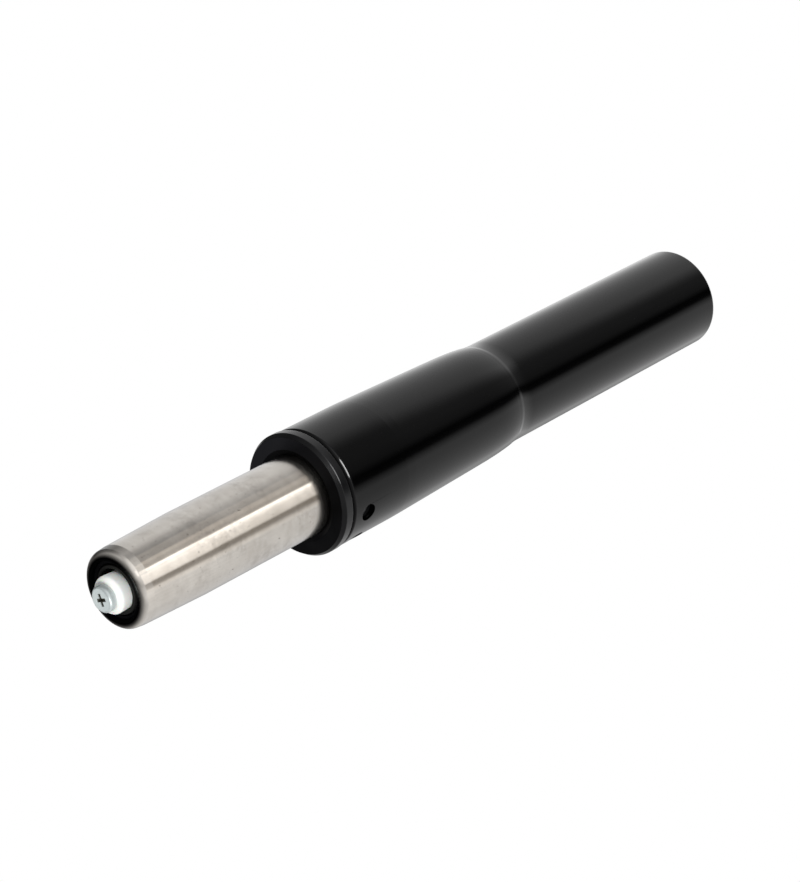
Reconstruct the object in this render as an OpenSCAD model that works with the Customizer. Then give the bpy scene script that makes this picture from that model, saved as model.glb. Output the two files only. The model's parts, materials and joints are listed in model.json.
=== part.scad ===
// Chair gas lift: a gas spring that slides and turns in a tapered stand tube.
// The axis is +Z and the stand tube's lower rim lies on z = 0. The lift is modelled fully down.

/* [Gas spring] */
// Outside diameter of the pressure tube
spring_d = 28; // [26:0.5:32]
// Wall of the pressure tube
spring_wall = 1.5; // [1:0.1:1.8]
// Height of the pressure tube's rolled rim
rim_height = 289; // [280:1:310]
// Height of the pressure tube's lower end
spring_foot = 38; // [36:1:44]
// Travel of the lift
stroke = 80; // [60:1:90]
// Length of the seat taper
seat_taper = 28.1; // [24:0.1:34]
// Half angle of the seat taper and the base taper, in degrees
taper_angle = 1.438; // [1.2:0.001:1.6]
// Outer rounding of the rolled rim
rim_roll = 2.6; // [2:0.1:3]
// Width of the rolled rim
rim_width = 3.4; // [3.3:0.1:3.8]
// Rounding of the rim's inner edge
rim_edge = 0.7; // [0.3:0.1:0.9]
// Rounding of the pressure tube's lower end
foot_round = 2; // [0.5:0.1:2.5]

/* [Stand tube] */
// Height of the stand tube
stand_height = 202.6; // [190:0.1:215]
// Wall of the stand tube
stand_wall = 2; // [1.5:0.1:2.5]
// Room between the pressure tube and the lower tube, on each side
spring_room = 2.2; // [1.5:0.1:3]
// Height where the base taper starts
taper_top = 176; // [165:1:180]
// Length of the base taper
taper_length = 39; // [30:1:42]
// Height of the crease under the shoulder
neck_height = 113; // [105:1:120]
// Drop in radius from the base taper to the lower tube
neck_drop = 1.72; // [1.2:0.01:2.5]
// Length of the hollow blend under the crease
neck_blend = 6; // [4:0.5:9]
// Depth of the hollow blend
blend_depth = 0.3; // [0.2:0.05:0.4]
// Height of the crease
crease_height = 0.6; // [0.4:0.1:0.8]
// Depth of the crease
crease_depth = 0.25; // [0.15:0.05:0.3]
// Rounding of the top edge
top_round = 1.2; // [0.6:0.1:1.5]
// Rounding of the lower edge
rim_round = 1.2; // [0.5:0.1:1.5]
// Height of the rolled-in foot lip
lip_height = 2.5; // [2:0.1:3]
// Width of the rolled-in foot lip
lip_width = 2.2; // [1.5:0.1:2.5]

/* [Guide bush] */
// Thickness of the flange
flange_thick = 5.4; // [5:0.1:7]
// How far the flange stands out past the tube
flange_proud = 0.25; // [0:0.05:0.5]
// Width of the flange's outer bevel
bevel_width = 0.95; // [0.6:0.05:1.2]
// Height of the flange's outer bevel
bevel_height = 1.5; // [1:0.1:2]
// Height of the groove under the flange
gap_height = 0.75; // [0.5:0.05:1]
// Depth of the groove under the flange
gap_depth = 0.9; // [0.6:0.1:1.2]
// Width of the lead-in round the bore
lead_width = 1.9; // [1:0.1:2.4]
// Depth of the lead-in round the bore
lead_depth = 1; // [0.6:0.1:2]
// Length of each bearing band in the bore
band_length = 25; // [15:1:30]
// Depth of the relief between the bands
relief_depth = 0.4; // [0.2:0.1:0.6]
// Reach of the bush past the raised tube's lower end
bush_reach = 4; // [3:1:8]
// Diameter of a snap pip
pip_d = 5.4; // [4:0.1:6]
// Depth of the pips below the tube's top
pip_depth = 7.1; // [6:0.1:9]
// How far a pip stays under the tube's surface
pip_recess = 1.4; // [0.8:0.1:1.6]
// Bevel on a pip's end
pip_bevel = 0.4; // [0.2:0.1:0.6]
// Direction of the middle of a pair of pips, in degrees
pip_turn = 203.6; // [180:0.1:230]
// Angle between the two pips of a pair, in degrees
pip_spread = 36; // [30:1:60]

/* [Rod and piston] */
// Diameter of the rod
rod_d = 10; // [9:0.5:11]
// Diameter of the rod's tail
tail_d = 8; // [7:0.5:8]
// Height of the tail's end
tail_end = 3; // [2.5:0.1:3.4]
// Bevel on the tail's end
tail_bevel = 0.5; // [0.3:0.1:0.6]
// Diameter of the piston's stud
stud_d = 7; // [6:0.5:7.5]
// Height of the piston
piston_height = 10; // [8:0.5:14]
// Height of the piston's ring
ring_height = 3; // [2:0.5:4]
// Depth of the piston's ring
ring_depth = 1.5; // [1:0.1:2]
// Height of the piston's nut
nut_height = 3; // [2.5:0.1:4]
// Width of the nut across its flats
nut_flats = 11; // [10:0.5:12]
// How far the stud stands out of the nut
stud_out = 0.5; // [0.3:0.1:1]
// Gap from the stud to the valve when the lift is down
valve_gap = 3.5; // [2:0.5:6]

/* [Inner tube and closing pack] */
// Wall of the inner tube
inner_wall = 1; // [0.8:0.1:1.2]
// Gap between the inner tube and the pressure tube
gas_gap = 1.5; // [1:0.1:1.6]
// Width of the lip left round the rod at the pressure tube's lower end
close_gap = 3; // [2:0.1:4]
// Thickness of the end washer
end_washer_thick = 2; // [1.5:0.1:3]
// Height of the rod guide
guide_height = 10; // [8:0.5:14]
// Height of the rod seal
seal_height = 7; // [5:0.5:9]
// Depth of the groove in the rod seal
seal_groove = 3; // [2:0.5:4]
// Thickness of the seal washer
seal_washer_thick = 2; // [1.5:0.1:3]
// Height of a spigot that centres the inner tube
spigot_height = 3; // [2:0.5:4]

/* [Valve and button] */
// Height of the valve body above its spigot
valve_height = 14; // [13:0.5:16]
// Gap from the valve body's top to the seat taper
valve_drop = 2.3; // [1:0.1:4]
// Section diameter of the valve's outer seals
valve_seal_d = 2; // [1.5:0.1:2.2]
// Distance of each outer seal from the valve body's end
valve_seal_inset = 3.5; // [2.5:0.1:4]
// Diameter of the release pin
pin_d = 4; // [3.5:0.1:4.5]
// Section diameter of the pin's seal
pin_seal_d = 1.4; // [1:0.1:1.6]
// Width of the pin's valve head past the pin
head_width = 1; // [0.7:0.1:1.3]
// Height of the pin's valve head
head_height = 2; // [1.5:0.1:2.5]
// Depth of the valve chamber in the valve body
chamber_depth = 7.5; // [7:0.1:8]
// Travel of the release button
button_travel = 2.5; // [2:0.1:3]
// Diameter of the button
button_d = 13.2; // [12:0.1:14]
// How far the button stands out of the rim
button_out = 3.5; // [3:0.1:5]
// Height of the button
button_height = 11.5; // [10:0.1:13]
// Rounding of the button's edge
button_round = 1.2; // [0.6:0.1:1.6]
// How far the pin reaches into the button
pin_reach = 5; // [4:0.1:5.5]
// Wall of the collar round the button
collar_wall = 1.1; // [0.8:0.1:1.3]
// Depth of the cap's face below the rim
face_drop = 1.2; // [0.8:0.1:1.6]
// Width of the ring groove round the collar
ring_groove = 0.55; // [0.4:0.05:0.7]
// Depth of the ring groove round the collar
groove_sink = 0.9; // [0.5:0.1:1.2]
// Diameter of the screw's head
screw_head_d = 8.8; // [7.6:0.1:9.4]
// Height of the screw's head
screw_head_h = 2.6; // [2:0.1:3]
// Rounding of the screw's head
screw_round = 1; // [0.5:0.1:1.4]
// Diameter of the screw's shank
screw_d = 3.9; // [3.4:0.1:4]
// Length of an arm of the cross recess
cross_length = 4.4; // [3:0.1:5]
// Width of an arm of the cross recess
cross_width = 1.2; // [0.8:0.1:1.4]
// Depth of the cross recess
cross_depth = 1.3; // [0.8:0.1:1.5]
// Turn of the cross recess, in degrees
cross_turn = -15.4; // [-45:0.1:45]

/* [Thrust bearing and foot] */
// Diameter of a ball
ball_d = 4; // [3:0.1:4.4]
// Number of balls
balls = 10; // [6:1:10]
// Radius of the ring of balls
pitch_r = 8.5; // [8.2:0.1:9.2]
// Thickness of a race
race_thick = 2.6; // [2:0.1:3]
// Depth of a race's groove
groove_depth = 0.7; // [0.5:0.1:0.9]
// Width of a race outside the ring of balls
race_rim = 2.9; // [2.6:0.1:3.2]
// Thickness of the cage
cage_thick = 1.8; // [1.2:0.1:2]
// Width of the cage on each side of the ring of balls
cage_rim = 2.7; // [2.6:0.1:2.8]
// Thickness of the bottom plate
plate_thick = 2.5; // [2:0.1:3]
// Rise of the dish in the bottom plate
dish_rise = 5; // [4.8:0.1:6]
// Run of the dish's slope
dish_run = 1.5; // [1:0.1:2]
// Thickness of the washer under the plate
washer_thick = 1.2; // [1:0.1:1.5]
// Width of the washer round the tail
washer_rim = 3.5; // [2.5:0.1:4]
// Thickness of the retaining clip
clip_thick = 1; // [0.8:0.1:1.2]
// Depth of the clip's groove in the tail
clip_groove = 0.8; // [0.6:0.1:1]
// Width of the clip outside the tail
clip_rim = 2.5; // [1.5:0.1:3]
// Opening of the clip
clip_opening = 5; // [4:0.1:6]

/* [Fits] */
// Running clearance of a shaft in its bore
run_fit = 0.05; // [0.02:0.01:0.08]
// Clearance of a seated piece
seat_fit = 0.05; // [0.02:0.01:0.1]
// Clearance round a ball, a pip or a clip
loose_fit = 0.1; // [0.05:0.01:0.15]
// Clearance between pieces that pass each other
pass_fit = 0.4; // [0.3:0.05:0.5]
// End clearance between a moving piece and a still one
end_fit = 0.3; // [0.2:0.05:0.4]

/* [Hidden] */
$fn = 120;
smooth = 1440;
eps = 0.1;
slope = tan(taper_angle);

// Pressure tube
spring_r = spring_d / 2;
bore_r = spring_r - spring_wall;
seat_top = rim_height - rim_roll;
seat_foot = seat_top - seat_taper;
seat_r = spring_r - slope * seat_taper;
roll_mid = seat_r - rim_roll;
roll_under = rim_height - spring_wall;

// Stand tube
lower_bore = spring_r + spring_room;
lower_r = lower_bore + stand_wall;
taper_foot = taper_top - taper_length;
taper_foot_r = lower_r + neck_drop;
stand_r = taper_foot_r + slope * taper_length;
blend_foot = neck_height - neck_blend;
crease_top = neck_height + crease_height;
crease_r = lower_r + blend_depth;
shoulder_r = crease_r + crease_depth;
// The shoulder's arc starts along the taper and ends at the crease
chord = norm([taper_foot_r - shoulder_r, taper_foot - crease_top]);
chord_turn = atan2(taper_foot_r - shoulder_r, taper_foot - crease_top) - taper_angle;
shoulder_arc = chord / (2 * sin(chord_turn));
// The blend's arc starts along the lower tube and ends at the crease
blend_arc = (pow(neck_blend, 2) + pow(blend_depth, 2)) / (2 * blend_depth);
// The tube's bore from the foot of the neck up
bore_points = [
    [blend_foot, lower_bore],
    [taper_foot, taper_foot_r - stand_wall],
    [taper_top, stand_r - stand_wall],
    [stand_height, stand_r - stand_wall]
];

// Guide bush
flange_top = stand_height + flange_thick;
flange_r = stand_r + flange_proud;
bush_bore = spring_r + run_fit;
bush_foot = spring_foot + stroke + bush_reach;
pip_height = stand_height - pip_depth;
pip_turns = [for (side = [0, 180], half = [-0.5, 0.5]) pip_turn + side + half * pip_spread];

// Foot and thrust bearing
rod_r = rod_d / 2;
tail_r = tail_d / 2;
plate_top = lip_height + dish_rise + plate_thick;
plate_under = lip_height + dish_rise;
race_r = pitch_r + race_rim;
groove_r = ball_d / 2 + loose_fit;
ball_height = plate_top + race_thick - groove_depth + groove_r;
upper_race_foot = ball_height + groove_r - groove_depth;
rod_shoulder = upper_race_foot + race_thick;
washer_top = plate_under - end_fit;
clip_top = washer_top - washer_thick;
clip_r = tail_r - clip_groove;

// Closing pack, from the pressure tube's lower end up
pack_r = bore_r - seat_fit;
end_washer_foot = spring_foot + spring_wall;
guide_foot = end_washer_foot + end_washer_thick;
seal_foot = guide_foot + guide_height;
seal_washer_foot = seal_foot + seal_height;
inner_foot = seal_washer_foot + seal_washer_thick;
inner_r = bore_r - gas_gap;
inner_bore = inner_r - inner_wall;

// Valve, from the seat taper down
valve_top = seat_foot - valve_drop;
valve_foot = valve_top - valve_height;
valve_end = valve_foot - spigot_height;
pin_r = pin_d / 2;
valve_seal_r = valve_seal_d / 2;
pin_seal_r = pin_seal_d / 2;
head_r = pin_r + head_width;
chamber_top = valve_foot + chamber_depth;
head_top = chamber_top - end_fit;
seal_heights = [valve_foot + valve_seal_inset, valve_top - valve_seal_inset];
pin_seal_height = (chamber_top + valve_top) / 2;

// Button
button_r = button_d / 2;
button_top = rim_height + button_out;
button_foot = button_top - button_height;
well_foot = button_foot - button_travel - end_fit;
pin_top = button_foot + pin_reach;
collar_bore = button_r + pass_fit;
cap_top = roll_under - seat_fit;

// Piston, under the valve
stud_top = valve_end - valve_gap;
nut_foot = stud_top - stud_out - nut_height;
piston_foot = nut_foot - piston_height;
stud_r = stud_d / 2;
piston_r = inner_bore - run_fit;
ring_foot = piston_foot + (piston_height - ring_height) / 2;
ring_r = piston_r - ring_depth;

// A ring with a square section
module ring(outer, inner, foot, height) {
    rotate_extrude()
        translate([inner, foot]) square([outer - inner, height]);
}

// A ring with a round section
module o_ring(middle, section, height) {
    rotate_extrude()
        translate([middle, height]) circle(section);
}

// What a rounding takes off an outer corner of a turned section, upper or lower
module corner_waste(r, z, round, up) {
    difference() {
        translate([r - round, up ? z - round : z - eps]) square([round + eps, round + eps]);
        translate([r - round, up ? z - round : z + round]) circle(round);
    }
}

// A turned disc whose upper edge is rounded
module soft_disc(r, foot, top, round) {
    rotate_extrude()
        difference() {
            translate([0, foot]) square([r, top - foot]);
            corner_waste(r, top, round, true);
        }
}

// The stand tube's outer section, filled in to the axis
module stand_outline() {
    square([lower_r, blend_foot]);
    difference() {
        translate([0, blend_foot]) square([crease_r, neck_blend]);
        translate([lower_r + blend_arc, blend_foot]) circle(blend_arc, $fn = smooth);
    }
    polygon([[0, neck_height], [crease_r, neck_height], [shoulder_r, crease_top], [0, crease_top]]);
    intersection() {
        translate([0, crease_top]) square([taper_foot_r + eps, taper_foot - crease_top]);
        translate([taper_foot_r - shoulder_arc * cos(taper_angle),
                   taper_foot + shoulder_arc * sin(taper_angle)])
            circle(shoulder_arc, $fn = smooth);
    }
    polygon([[0, taper_foot], [taper_foot_r, taper_foot], [stand_r, taper_top],
             [stand_r, stand_height], [0, stand_height]]);
}

// The stand tube's bore, from the foot lip up
module stand_hollow() {
    translate([0, -eps]) square([lower_bore - lip_width, lip_height + 2 * eps]);
    polygon(concat(
        [[0, lip_height], [lower_bore, lip_height]],
        [for (p = bore_points) [p[1], p[0]]],
        [[stand_r - stand_wall, stand_height + eps], [0, stand_height + eps]]
    ));
}

// A round bar along a radius at the height of the pips
module radial_bar(turn, d, from, to, bevel) {
    rotate([0, 0, turn])
        translate([from, 0, pip_height])
            rotate([0, 90, 0])
                union() {
                    cylinder(d = d, h = to - from - bevel);
                    translate([0, 0, to - from - bevel])
                        cylinder(d1 = d, d2 = d - 2 * bevel, h = bevel);
                }
}

module stand_tube() {
    color("#17181a")
        difference() {
            rotate_extrude()
                difference() {
                    stand_outline();
                    stand_hollow();
                    corner_waste(stand_r, stand_height, top_round, true);
                    corner_waste(lower_r, 0, rim_round, false);
                }
            for (turn = pip_turns)
                rotate([0, 0, turn])
                    translate([stand_r - 2 * stand_wall, 0, pip_height])
                        rotate([0, 90, 0])
                            cylinder(d = pip_d + 2 * loose_fit, h = 3 * stand_wall);
        }
}

module bottom_plate() {
    dish_r = race_r - end_fit;
    plate_r = lower_bore - seat_fit;
    hole_r = tail_r + run_fit;
    color("#8f9296")
        rotate_extrude()
            polygon([
                [hole_r, plate_under], [dish_r, plate_under],
                [dish_r + dish_run, lip_height], [plate_r, lip_height],
                [plate_r, lip_height + plate_thick],
                [dish_r + 1.5 * dish_run, lip_height + plate_thick],
                [dish_r + dish_run / 2, plate_top], [hole_r, plate_top]
            ]);
}

module guide_bush() {
    relief_r = bush_bore + relief_depth;
    band_foot = bush_foot + band_length;
    band_top = flange_top - band_length;
    color("#101112") {
        difference() {
            rotate_extrude()
                polygon(concat(
                    [[bush_bore, bush_foot],
                     [lookup(bush_foot, bore_points) - seat_fit, bush_foot]],
                    [for (p = bore_points) if (p[0] > bush_foot) [p[1] - seat_fit, p[0]]],
                    [[flange_r - gap_depth, stand_height],
                     [flange_r - gap_depth, stand_height + gap_height],
                     [flange_r, stand_height + gap_height],
                     [flange_r, flange_top - bevel_height],
                     [flange_r - bevel_width, flange_top],
                     [bush_bore + lead_width, flange_top],
                     [bush_bore, flange_top - lead_depth]]
                ));
            ring(relief_r, bush_bore - eps, band_foot, band_top - band_foot);
        }
        for (turn = pip_turns)
            radial_bar(turn, pip_d, bush_bore + lead_width, stand_r - pip_recess, pip_bevel);
    }
}

// A bearing race: a flat ring with a round groove in its upper or lower face
module race(bore, foot) {
    color("#9a9da1")
        rotate_extrude()
            difference() {
                translate([bore, foot]) square([race_r - bore, race_thick]);
                translate([pitch_r, ball_height]) circle(groove_r);
            }
}

module lower_race() race(tail_r + pass_fit, plate_top);

module upper_race() race(tail_r + seat_fit, upper_race_foot);

module ball_cage() {
    color("#b08d45")
        difference() {
            ring(pitch_r + cage_rim, pitch_r - cage_rim, ball_height - cage_thick / 2, cage_thick);
            for (i = [0 : balls - 1])
                rotate([0, 0, i * 360 / balls])
                    translate([pitch_r, 0, ball_height - cage_thick])
                        cylinder(r = groove_r, h = 2 * cage_thick);
        }
}

module bearing_balls() {
    color("#c4c7ca")
        for (i = [0 : balls - 1])
            rotate([0, 0, i * 360 / balls])
                translate([pitch_r, 0, ball_height]) sphere(d = ball_d);
}

module piston_rod() {
    color("#a9acb0")
        rotate_extrude()
            polygon([
                [0, tail_end], [tail_r - tail_bevel, tail_end], [tail_r, tail_end + tail_bevel],
                [tail_r, clip_top - clip_thick - seat_fit], [clip_r, clip_top - clip_thick - seat_fit],
                [clip_r, clip_top + seat_fit], [tail_r, clip_top + seat_fit],
                [tail_r, rod_shoulder], [rod_r, rod_shoulder],
                [rod_r, piston_foot], [stud_r, piston_foot],
                [stud_r, stud_top], [0, stud_top]
            ]);
}

module bump_stop() {
    stop_top = spring_foot - end_fit;
    stop_mid = (rod_shoulder + stop_top) / 2;
    waist = (stop_top - rod_shoulder) / 2;
    color("#232323")
        rotate_extrude()
            difference() {
                translate([rod_r + seat_fit, rod_shoulder])
                    square([race_r - rod_r - seat_fit, stop_top - rod_shoulder]);
                translate([race_r + 0.85 * waist, stop_mid]) circle(waist);
            }
}

module clip_washer() {
    color("#a2a5a8")
        ring(tail_r + washer_rim, tail_r + seat_fit, clip_top, washer_thick);
}

module retaining_clip() {
    color("#5c5f63")
        difference() {
            ring(tail_r + clip_rim, clip_r + seat_fit, clip_top - clip_thick, clip_thick);
            translate([0, -clip_opening / 2, clip_top - 2 * clip_thick])
                cube([2 * race_r, clip_opening, 3 * clip_thick]);
        }
}

module piston() {
    color("#b9bcc0")
        difference() {
            ring(piston_r, stud_r + seat_fit, piston_foot, piston_height);
            ring(piston_r + eps, ring_r, ring_foot, ring_height);
        }
}

module piston_ring() {
    color("#e3e0d6")
        ring(piston_r, ring_r + seat_fit, ring_foot + seat_fit, ring_height - 2 * seat_fit);
}

module piston_nut() {
    color("#9fa2a6")
        difference() {
            translate([0, 0, nut_foot])
                cylinder(r = nut_flats / 2 / cos(30), h = nut_height, $fn = 6);
            translate([0, 0, nut_foot - eps])
                cylinder(r = stud_r + seat_fit, h = nut_height + 2 * eps);
        }
}

module pressure_tube() {
    rim_bore = seat_r - rim_width;
    bore_top = seat_r - spring_wall;
    color("#b8b2aa")
        rotate_extrude()
            difference() {
                polygon([
                    [rod_r + close_gap, spring_foot], [spring_r, spring_foot],
                    [spring_r, seat_foot], [seat_r, seat_top], [seat_r, rim_height],
                    [rim_bore, rim_height], [rim_bore, roll_under], [roll_mid, roll_under],
                    [bore_top, seat_top], [bore_r, seat_foot],
                    [bore_r, spring_foot + spring_wall],
                    [rod_r + close_gap, spring_foot + spring_wall]
                ]);
                corner_waste(spring_r, spring_foot, foot_round, false);
                corner_waste(seat_r, rim_height, rim_roll, true);
                difference() {
                    translate([rim_bore - eps, rim_height - rim_edge])
                        square([rim_edge + eps, rim_edge + eps]);
                    translate([rim_bore + rim_edge, rim_height - rim_edge]) circle(rim_edge);
                }
            }
}

module inner_tube() {
    color("#a6a9ad")
        ring(inner_r, inner_bore, inner_foot, valve_foot - inner_foot);
}

module end_washer() {
    color("#a2a5a8")
        ring(pack_r, rod_r + pass_fit, end_washer_foot, end_washer_thick);
}

module rod_guide() {
    color("#b08d45")
        ring(pack_r, rod_r + run_fit, guide_foot, guide_height);
}

module rod_seal() {
    groove_mid = (pack_r + rod_r) / 2;
    groove_half = (pack_r - rod_r) / 5;
    color("#26282a")
        rotate_extrude()
            difference() {
                translate([rod_r + run_fit, seal_foot])
                    square([pack_r - rod_r - run_fit, seal_height]);
                polygon([
                    [groove_mid, seal_washer_foot - seal_groove],
                    [groove_mid + groove_half, seal_washer_foot + eps],
                    [groove_mid - groove_half, seal_washer_foot + eps]
                ]);
            }
}

module seal_washer() {
    color("#a2a5a8") {
        ring(pack_r, rod_r + pass_fit, seal_washer_foot, seal_washer_thick);
        ring(inner_bore - seat_fit, rod_r + pass_fit, inner_foot, spigot_height);
    }
}

module valve_body() {
    seal_room = valve_seal_r + loose_fit;
    seat_floor = bore_r - 2 * valve_seal_r - loose_fit;
    color("#b3954f")
        rotate_extrude()
            difference() {
                union() {
                    translate([0, valve_foot]) square([pack_r, valve_height]);
                    translate([0, valve_end]) square([inner_bore - seat_fit, spigot_height]);
                }
                for (height = seal_heights)
                    translate([seat_floor, height - seal_room])
                        square([bore_r, 2 * seal_room]);
                translate([0, valve_end - eps])
                    square([head_r + pass_fit, chamber_top - valve_end + eps]);
                translate([0, valve_end]) square([pin_r + run_fit, valve_height + 2 * spigot_height]);
                translate([0, pin_seal_height - pin_seal_r - seat_fit])
                    square([pin_r + pin_seal_d + loose_fit, pin_seal_d + 2 * seat_fit]);
            }
}

module valve_seals() {
    color("#1d1d1e")
        for (height = seal_heights)
            o_ring(bore_r - valve_seal_r - seat_fit, valve_seal_r, height);
}

module pin_seal() {
    color("#1d1d1e")
        o_ring(pin_r + run_fit + pin_seal_r, pin_seal_r, pin_seal_height);
}

module valve_cap() {
    cap_r = seat_r - spring_wall - seat_fit;
    lip_r = seat_r - rim_width - seat_fit;
    collar_r = collar_bore + collar_wall;
    groove_out = collar_r + ring_groove;
    face = rim_height - face_drop;
    color("#0c0c0d")
        rotate_extrude()
            polygon([
                [pin_r + pass_fit, valve_top], [pack_r, valve_top], [pack_r, seat_foot],
                [cap_r, seat_top], [roll_mid, cap_top], [lip_r, cap_top], [lip_r, face],
                [groove_out, face], [groove_out, face - groove_sink],
                [collar_r, face - groove_sink], [collar_r, face], [collar_bore, face],
                [collar_bore, well_foot], [pin_r + pass_fit, well_foot]
            ]);
}

module release_pin() {
    color("#b5b8bb")
        rotate_extrude()
            polygon([
                [0, head_top - head_height - head_width], [head_r, head_top - head_height - head_width],
                [head_r, head_top - head_width], [pin_r, head_top],
                [pin_r, pin_top], [0, pin_top]
            ]);
}

module button_cap() {
    color("#eef0ec")
        difference() {
            soft_disc(button_r, button_foot, button_top, button_round);
            translate([0, 0, button_foot - eps])
                cylinder(r = pin_r + seat_fit, h = button_height + 2 * eps);
        }
}

module adjusting_screw() {
    head_end = button_top + screw_head_h;
    color("#c9d1d1")
        difference() {
            union() {
                soft_disc(screw_head_d / 2, button_top, head_end, screw_round);
                translate([0, 0, pin_top])
                    cylinder(d = screw_d, h = button_top - pin_top + eps);
            }
            for (turn = [0, 90])
                rotate([0, 0, cross_turn + turn])
                    translate([-cross_length / 2, -cross_width / 2, head_end - cross_depth])
                        cube([cross_length, cross_width, 2 * cross_depth]);
        }
}

stand_tube();
bottom_plate();
guide_bush();
lower_race();
ball_cage();
bearing_balls();
upper_race();
piston_rod();
bump_stop();
clip_washer();
retaining_clip();
piston();
piston_ring();
piston_nut();
pressure_tube();
inner_tube();
end_washer();
rod_guide();
rod_seal();
seal_washer();
valve_body();
valve_seals();
pin_seal();
valve_cap();
release_pin();
button_cap();
adjusting_screw();
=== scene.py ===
"""Dresses the chair gas lift: turned skins for what shows, materials for every piece, tent light."""
import json
import math

import bmesh
import bpy
from mathutils import Matrix, Vector


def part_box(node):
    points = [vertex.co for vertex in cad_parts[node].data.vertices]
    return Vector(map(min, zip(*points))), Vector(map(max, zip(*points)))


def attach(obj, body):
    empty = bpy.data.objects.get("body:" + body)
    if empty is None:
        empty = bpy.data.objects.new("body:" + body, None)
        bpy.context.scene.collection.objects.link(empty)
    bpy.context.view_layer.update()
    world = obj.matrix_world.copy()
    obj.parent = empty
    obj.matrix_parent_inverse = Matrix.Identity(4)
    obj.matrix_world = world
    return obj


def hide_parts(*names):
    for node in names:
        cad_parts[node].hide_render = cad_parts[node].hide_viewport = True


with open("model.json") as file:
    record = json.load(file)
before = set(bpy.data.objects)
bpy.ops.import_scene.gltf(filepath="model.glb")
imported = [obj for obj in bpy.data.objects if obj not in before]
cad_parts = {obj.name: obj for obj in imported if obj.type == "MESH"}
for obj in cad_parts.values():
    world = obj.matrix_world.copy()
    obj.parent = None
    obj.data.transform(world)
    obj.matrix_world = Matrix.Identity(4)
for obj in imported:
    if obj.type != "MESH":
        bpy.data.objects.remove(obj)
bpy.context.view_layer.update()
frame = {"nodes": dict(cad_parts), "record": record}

# Lengths below are in millimetres, as on a drawing; MM turns them into metres.
MM = 0.001

# Steps of a full turn and of a rounding, and how far from an edge the extra points of an outline are
TURN_STEPS = 288
SCREW_STEPS = 128
ARC_STEP = math.radians(10)
EDGE = 0.06

# Edges over these angles, in degrees, stay sharp on skins and on solids, or are the rims of holes
SKIN_SHARP = 32
SOLID_SHARP = 28
HOLE_SHARP = 50

# A face whose normal has at least this share outwards is on a tube's outer wall
FACES_OUT = 0.98

# The camera, in the part's frame
CAMERA_AT = (0, -696.65, 795.99)
AIM_AT = (0.10, 0, 156.20)
CAMERA_ROLL = -117.648
FOCAL_PIXELS = 2829.34
FRAME_PIXELS = 882
SENSOR = 36

# Brightness of the light tent, and the floor just under the lift
TENT_GAIN = 1.7
FLOOR_R = 6000
FLOOR_GAP = 0.5

# Lights face this height, and these are their colours
LIT_HEIGHT = 250
WHITE = (1, 1, 1)
WARM = (1, 0.98, 0.955)
AMBER = (1, 0.91, 0.80)


def node_size(node):
    """Radius, foot and top of a turned node, in millimetres."""
    low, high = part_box(node)
    return high.x / MM, low.z / MM, high.z / MM


STAND_R, STAND_FOOT, STAND_TOP = node_size("stand_tube")
FLANGE_R, BUSH_FOOT, FLANGE_TOP = node_size("guide_bush")
SPRING_R, SPRING_FOOT, RIM_TOP = node_size("pressure_tube")
PACK_R, CAP_FOOT, CAP_TOP = node_size("valve_cap")
_, BUTTON_FOOT, BUTTON_TOP = node_size("button_cap")
SCREW_R, SCREW_FOOT, SCREW_TOP = node_size("adjusting_screw")

# Small roundings of edges, and the room between pieces that fit into each other
FINE_ROUND = 0.2
FACE_ROUND = 0.25
SMALL_ROUND = 0.3
SOFT_ROUND = 0.4
FIT_ROOM = 0.05

# Stand tube
STAND_WALL = 2
LOWER_R = 18.2
TAPER_TOP = 176
TAPER_ROUND = 300
TAPER_REACH = 3.7
TAPER_FOOT = 137
TAPER_FOOT_R = 19.92
CREASE = 113.3
CREASE_HEIGHT = 1.4
CREASE_DEPTH = 0.25
CREASE_ROUND = 6
BLEND_LENGTH = 6
BLEND_DEPTH = 0.3
BLEND_BOW = -0.075
FOOT_ROUND = 1.2
TOP_ROUND = 1.2
EDGE_HEIGHT = 1.5
EDGE_FOOT = STAND_TOP - EDGE_HEIGHT
LIP_HEIGHT = 2.5
LIP_R = 14

# Guide bush and its pips
BUSH_FOOT_R = 17.1
LEAD_WIDTH = 1.9
LEAD_DEPTH = 1
BEVEL_WIDTH = 0.95
BEVEL_HEIGHT = 1.5
BEVEL_ROUND = 0.5
GAP_HEIGHT = 1.0
GAP_DEPTH = 1.5
PIP_D = 5.4
PIP_ROOM = 0.1
PIP_DEPTH = 7.1
PIP_RECESS = 1.7
PIP_ROOT = 1
HOLE_R = 3
HOLE_BEVEL = 0.12
PIP_TURNS = [side + half for side in (203.6, 23.6) for half in (-18, 18)]

# The flange's outer part, which the chrome does not mirror, starts at this radius
SHADE_R = 18

# Pressure tube and button, which sits loosely, to one side
SPRING_WALL = 1.5
RIM_ROLL = 2.6
RIM_WIDTH = 3.4
RIM_ROUND = 2.1
RIM_BORE_ROUND = 0.12
ROLL_LINE = 4.6
ROLL_LEAN = 0.36
SEAT_FOOT = 258.3
SEAT_R = 13.29
SEAT_TOP = RIM_TOP - RIM_ROLL
SEAT_SLOPE = (SPRING_R - SEAT_R) / (SEAT_TOP - SEAT_FOOT)
SEAT_ROUND = 3
SPRING_FOOT_ROUND = 1.9
CLOSE_R = 8
COLLAR_BORE = 7
COLLAR_R = 8.1
GROOVE_R = 8.65
GROOVE_SINK = 0.9
COLLAR_RISE = 0.4
COLLAR_ROUND = 0.35
WELL_DEPTH = 2.8
PIN_ROOM = 0.4
BUTTON_STEP = RIM_TOP - 4
BUTTON_TOP_R = 6.35
BUTTON_FOOT_R = 6.0
BUTTON_ROUND = 1.6
BUTTON_SHIFT = (-0.5, -0.3)
SCREW_SHIFT = (-0.62, -0.4)
SCREW_ROUND = 0.9
PIN_R = 2
SHANK_R = 1.95
CROSS_LENGTH = 4.4
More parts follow.
